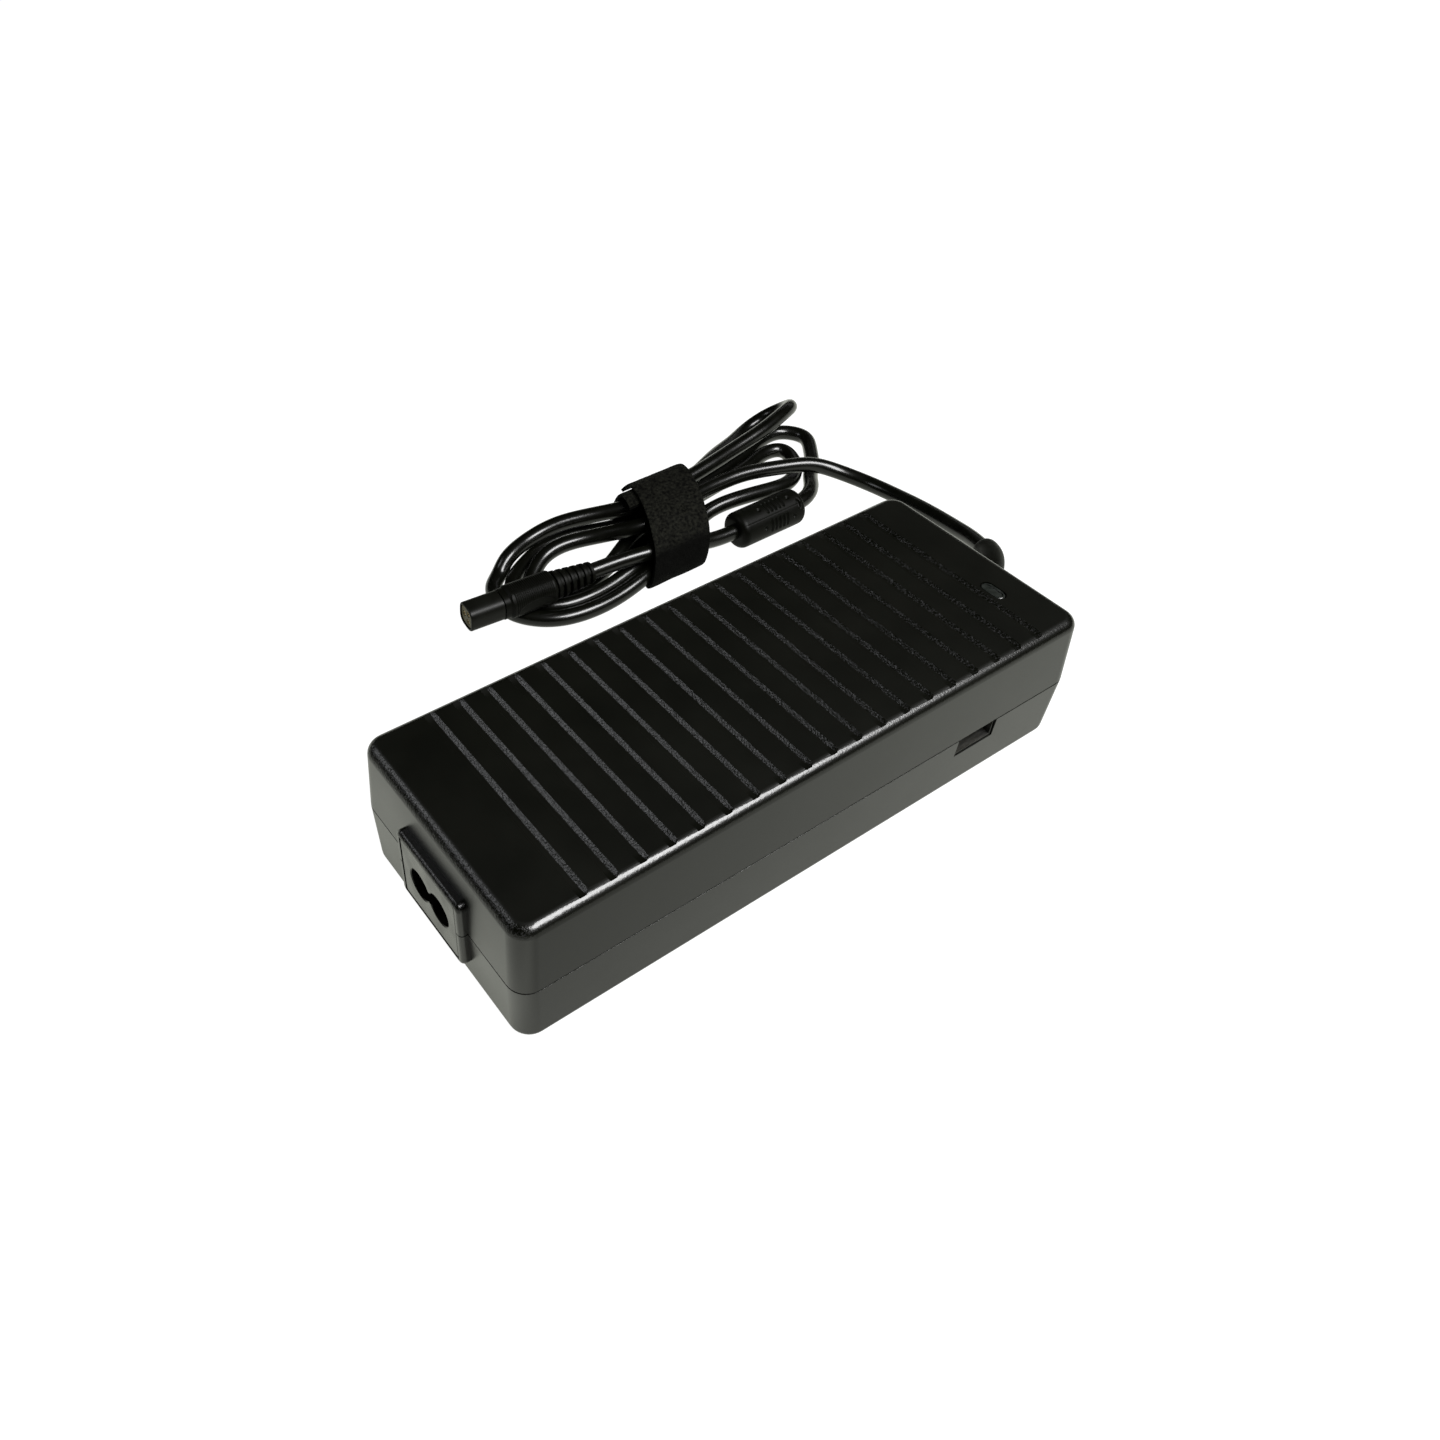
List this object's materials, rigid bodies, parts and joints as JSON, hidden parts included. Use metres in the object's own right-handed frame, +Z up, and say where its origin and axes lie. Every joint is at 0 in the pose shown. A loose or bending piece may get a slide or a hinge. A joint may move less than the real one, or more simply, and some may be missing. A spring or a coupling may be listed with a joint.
{
  "type": "laptop power adapter",
  "caption": "Black brick-shaped laptop power adapter with a grooved top, figure-8 mains inlet, USB port, status lamp and a captive lead with ferrite and round plug, folded in a strapped hank.",
  "frame": {"origin": "under the middle of the brick's footprint, its inlet collar included, on the surface it stands on", "axes": "+X along the brick from the mains inlet to the lead's exit, +Y towards the side where the hank lies, +Z up"},
  "size_m": [0.2073, 0.1522, 0.0375],
  "materials": {
    "shell_plastic": "satin moulded black",
    "gloss_plastic": "glossy moulded black",
    "label": "blank dark grey label",
    "clear_plastic": "clear, cloudy",
    "lamp": "green diffused",
    "cord_jacket": "glossy flexible jacket",
    "soft_moulding": "satin soft moulding",
    "strap_fabric": "woven loop pile",
    "steel": "bright plated sheet",
    "brass": "gold-toned contact",
    "pin_metal": "nickel plated",
    "ivory": "ivory insulator",
    "insulator": "tan insulator",
    "board": "green glass-fibre laminate",
    "sheet": "amber insulating film",
    "aluminium": "plain sheet",
    "ferrite": "dark grey sintered",
    "winding": "enamelled copper wire",
    "tape": "yellow tape over wire",
    "chip": "moulded black",
    "can": "sleeved can",
    "disc": "blue coated disc",
    "film_box": "yellow box",
    "ceramic_tube": "white tube",
    "brown_wire": "insulated wire",
    "red_wire": "insulated wire"
  },
  "bodies": {
    "root": {"upper_shell": "shell_plastic", "lower_shell": "shell_plastic", "rating_label": "label", "led_light_pipe": "clear_plastic", "status_led": "lamp", "inlet_housing": "gloss_plastic", "inlet_pin_line": "pin_metal", "inlet_pin_neutral": "pin_metal", "inlet_wire_line": "brown_wire", "inlet_wire_neutral": "brown_wire", "usb_shell": "steel", "usb_tongue": "ivory", "usb_contact_1": "brass", "usb_contact_2": "brass", "usb_contact_3": "brass", "usb_contact_4": "brass", "usb_board": "board", "usb_board_header": "chip", "main_board": "board", "insulation_sheet": "sheet", "lower_heat_spreader": "aluminium", "upper_heat_spreader": "aluminium", "fuse": "ceramic_tube", "varistor": "disc", "x_capacitor": "film_box", "choke_core": "ferrite", "choke_winding": "winding", "bridge_rectifier": "chip", "y_capacitor_1": "disc", "y_capacitor_2": "disc", "primary_heatsink": "aluminium", "switching_transistor_1": "chip", "switching_transistor_2": "chip", "bulk_capacitor": "can", "boost_choke_core": "ferrite", "boost_choke_winding": "winding", "transformer_core": "ferrite", "transformer_winding": "tape", "secondary_heatsink": "aluminium", "output_rectifier_1": "chip", "output_rectifier_2": "chip", "output_capacitor_1": "can", "output_capacitor_2": "can", "output_capacitor_3": "can", "control_chip": "chip", "optocoupler": "ceramic_tube", "cord_strain_relief": "soft_moulding", "dc_cord": "cord_jacket", "output_wire_negative": "red_wire", "output_wire_positive": "red_wire", "ferrite_core": "ferrite", "ferrite_cover": "soft_moulding", "connector_barrel": "gloss_plastic", "connector_insulator": "insulator", "connector_contact_1": "brass", "connector_contact_2": "brass", "connector_contact_3": "brass", "connector_grip": "soft_moulding", "connector_boot": "soft_moulding", "cord_strap": "strap_fabric"}
  },
  "joints": []
}
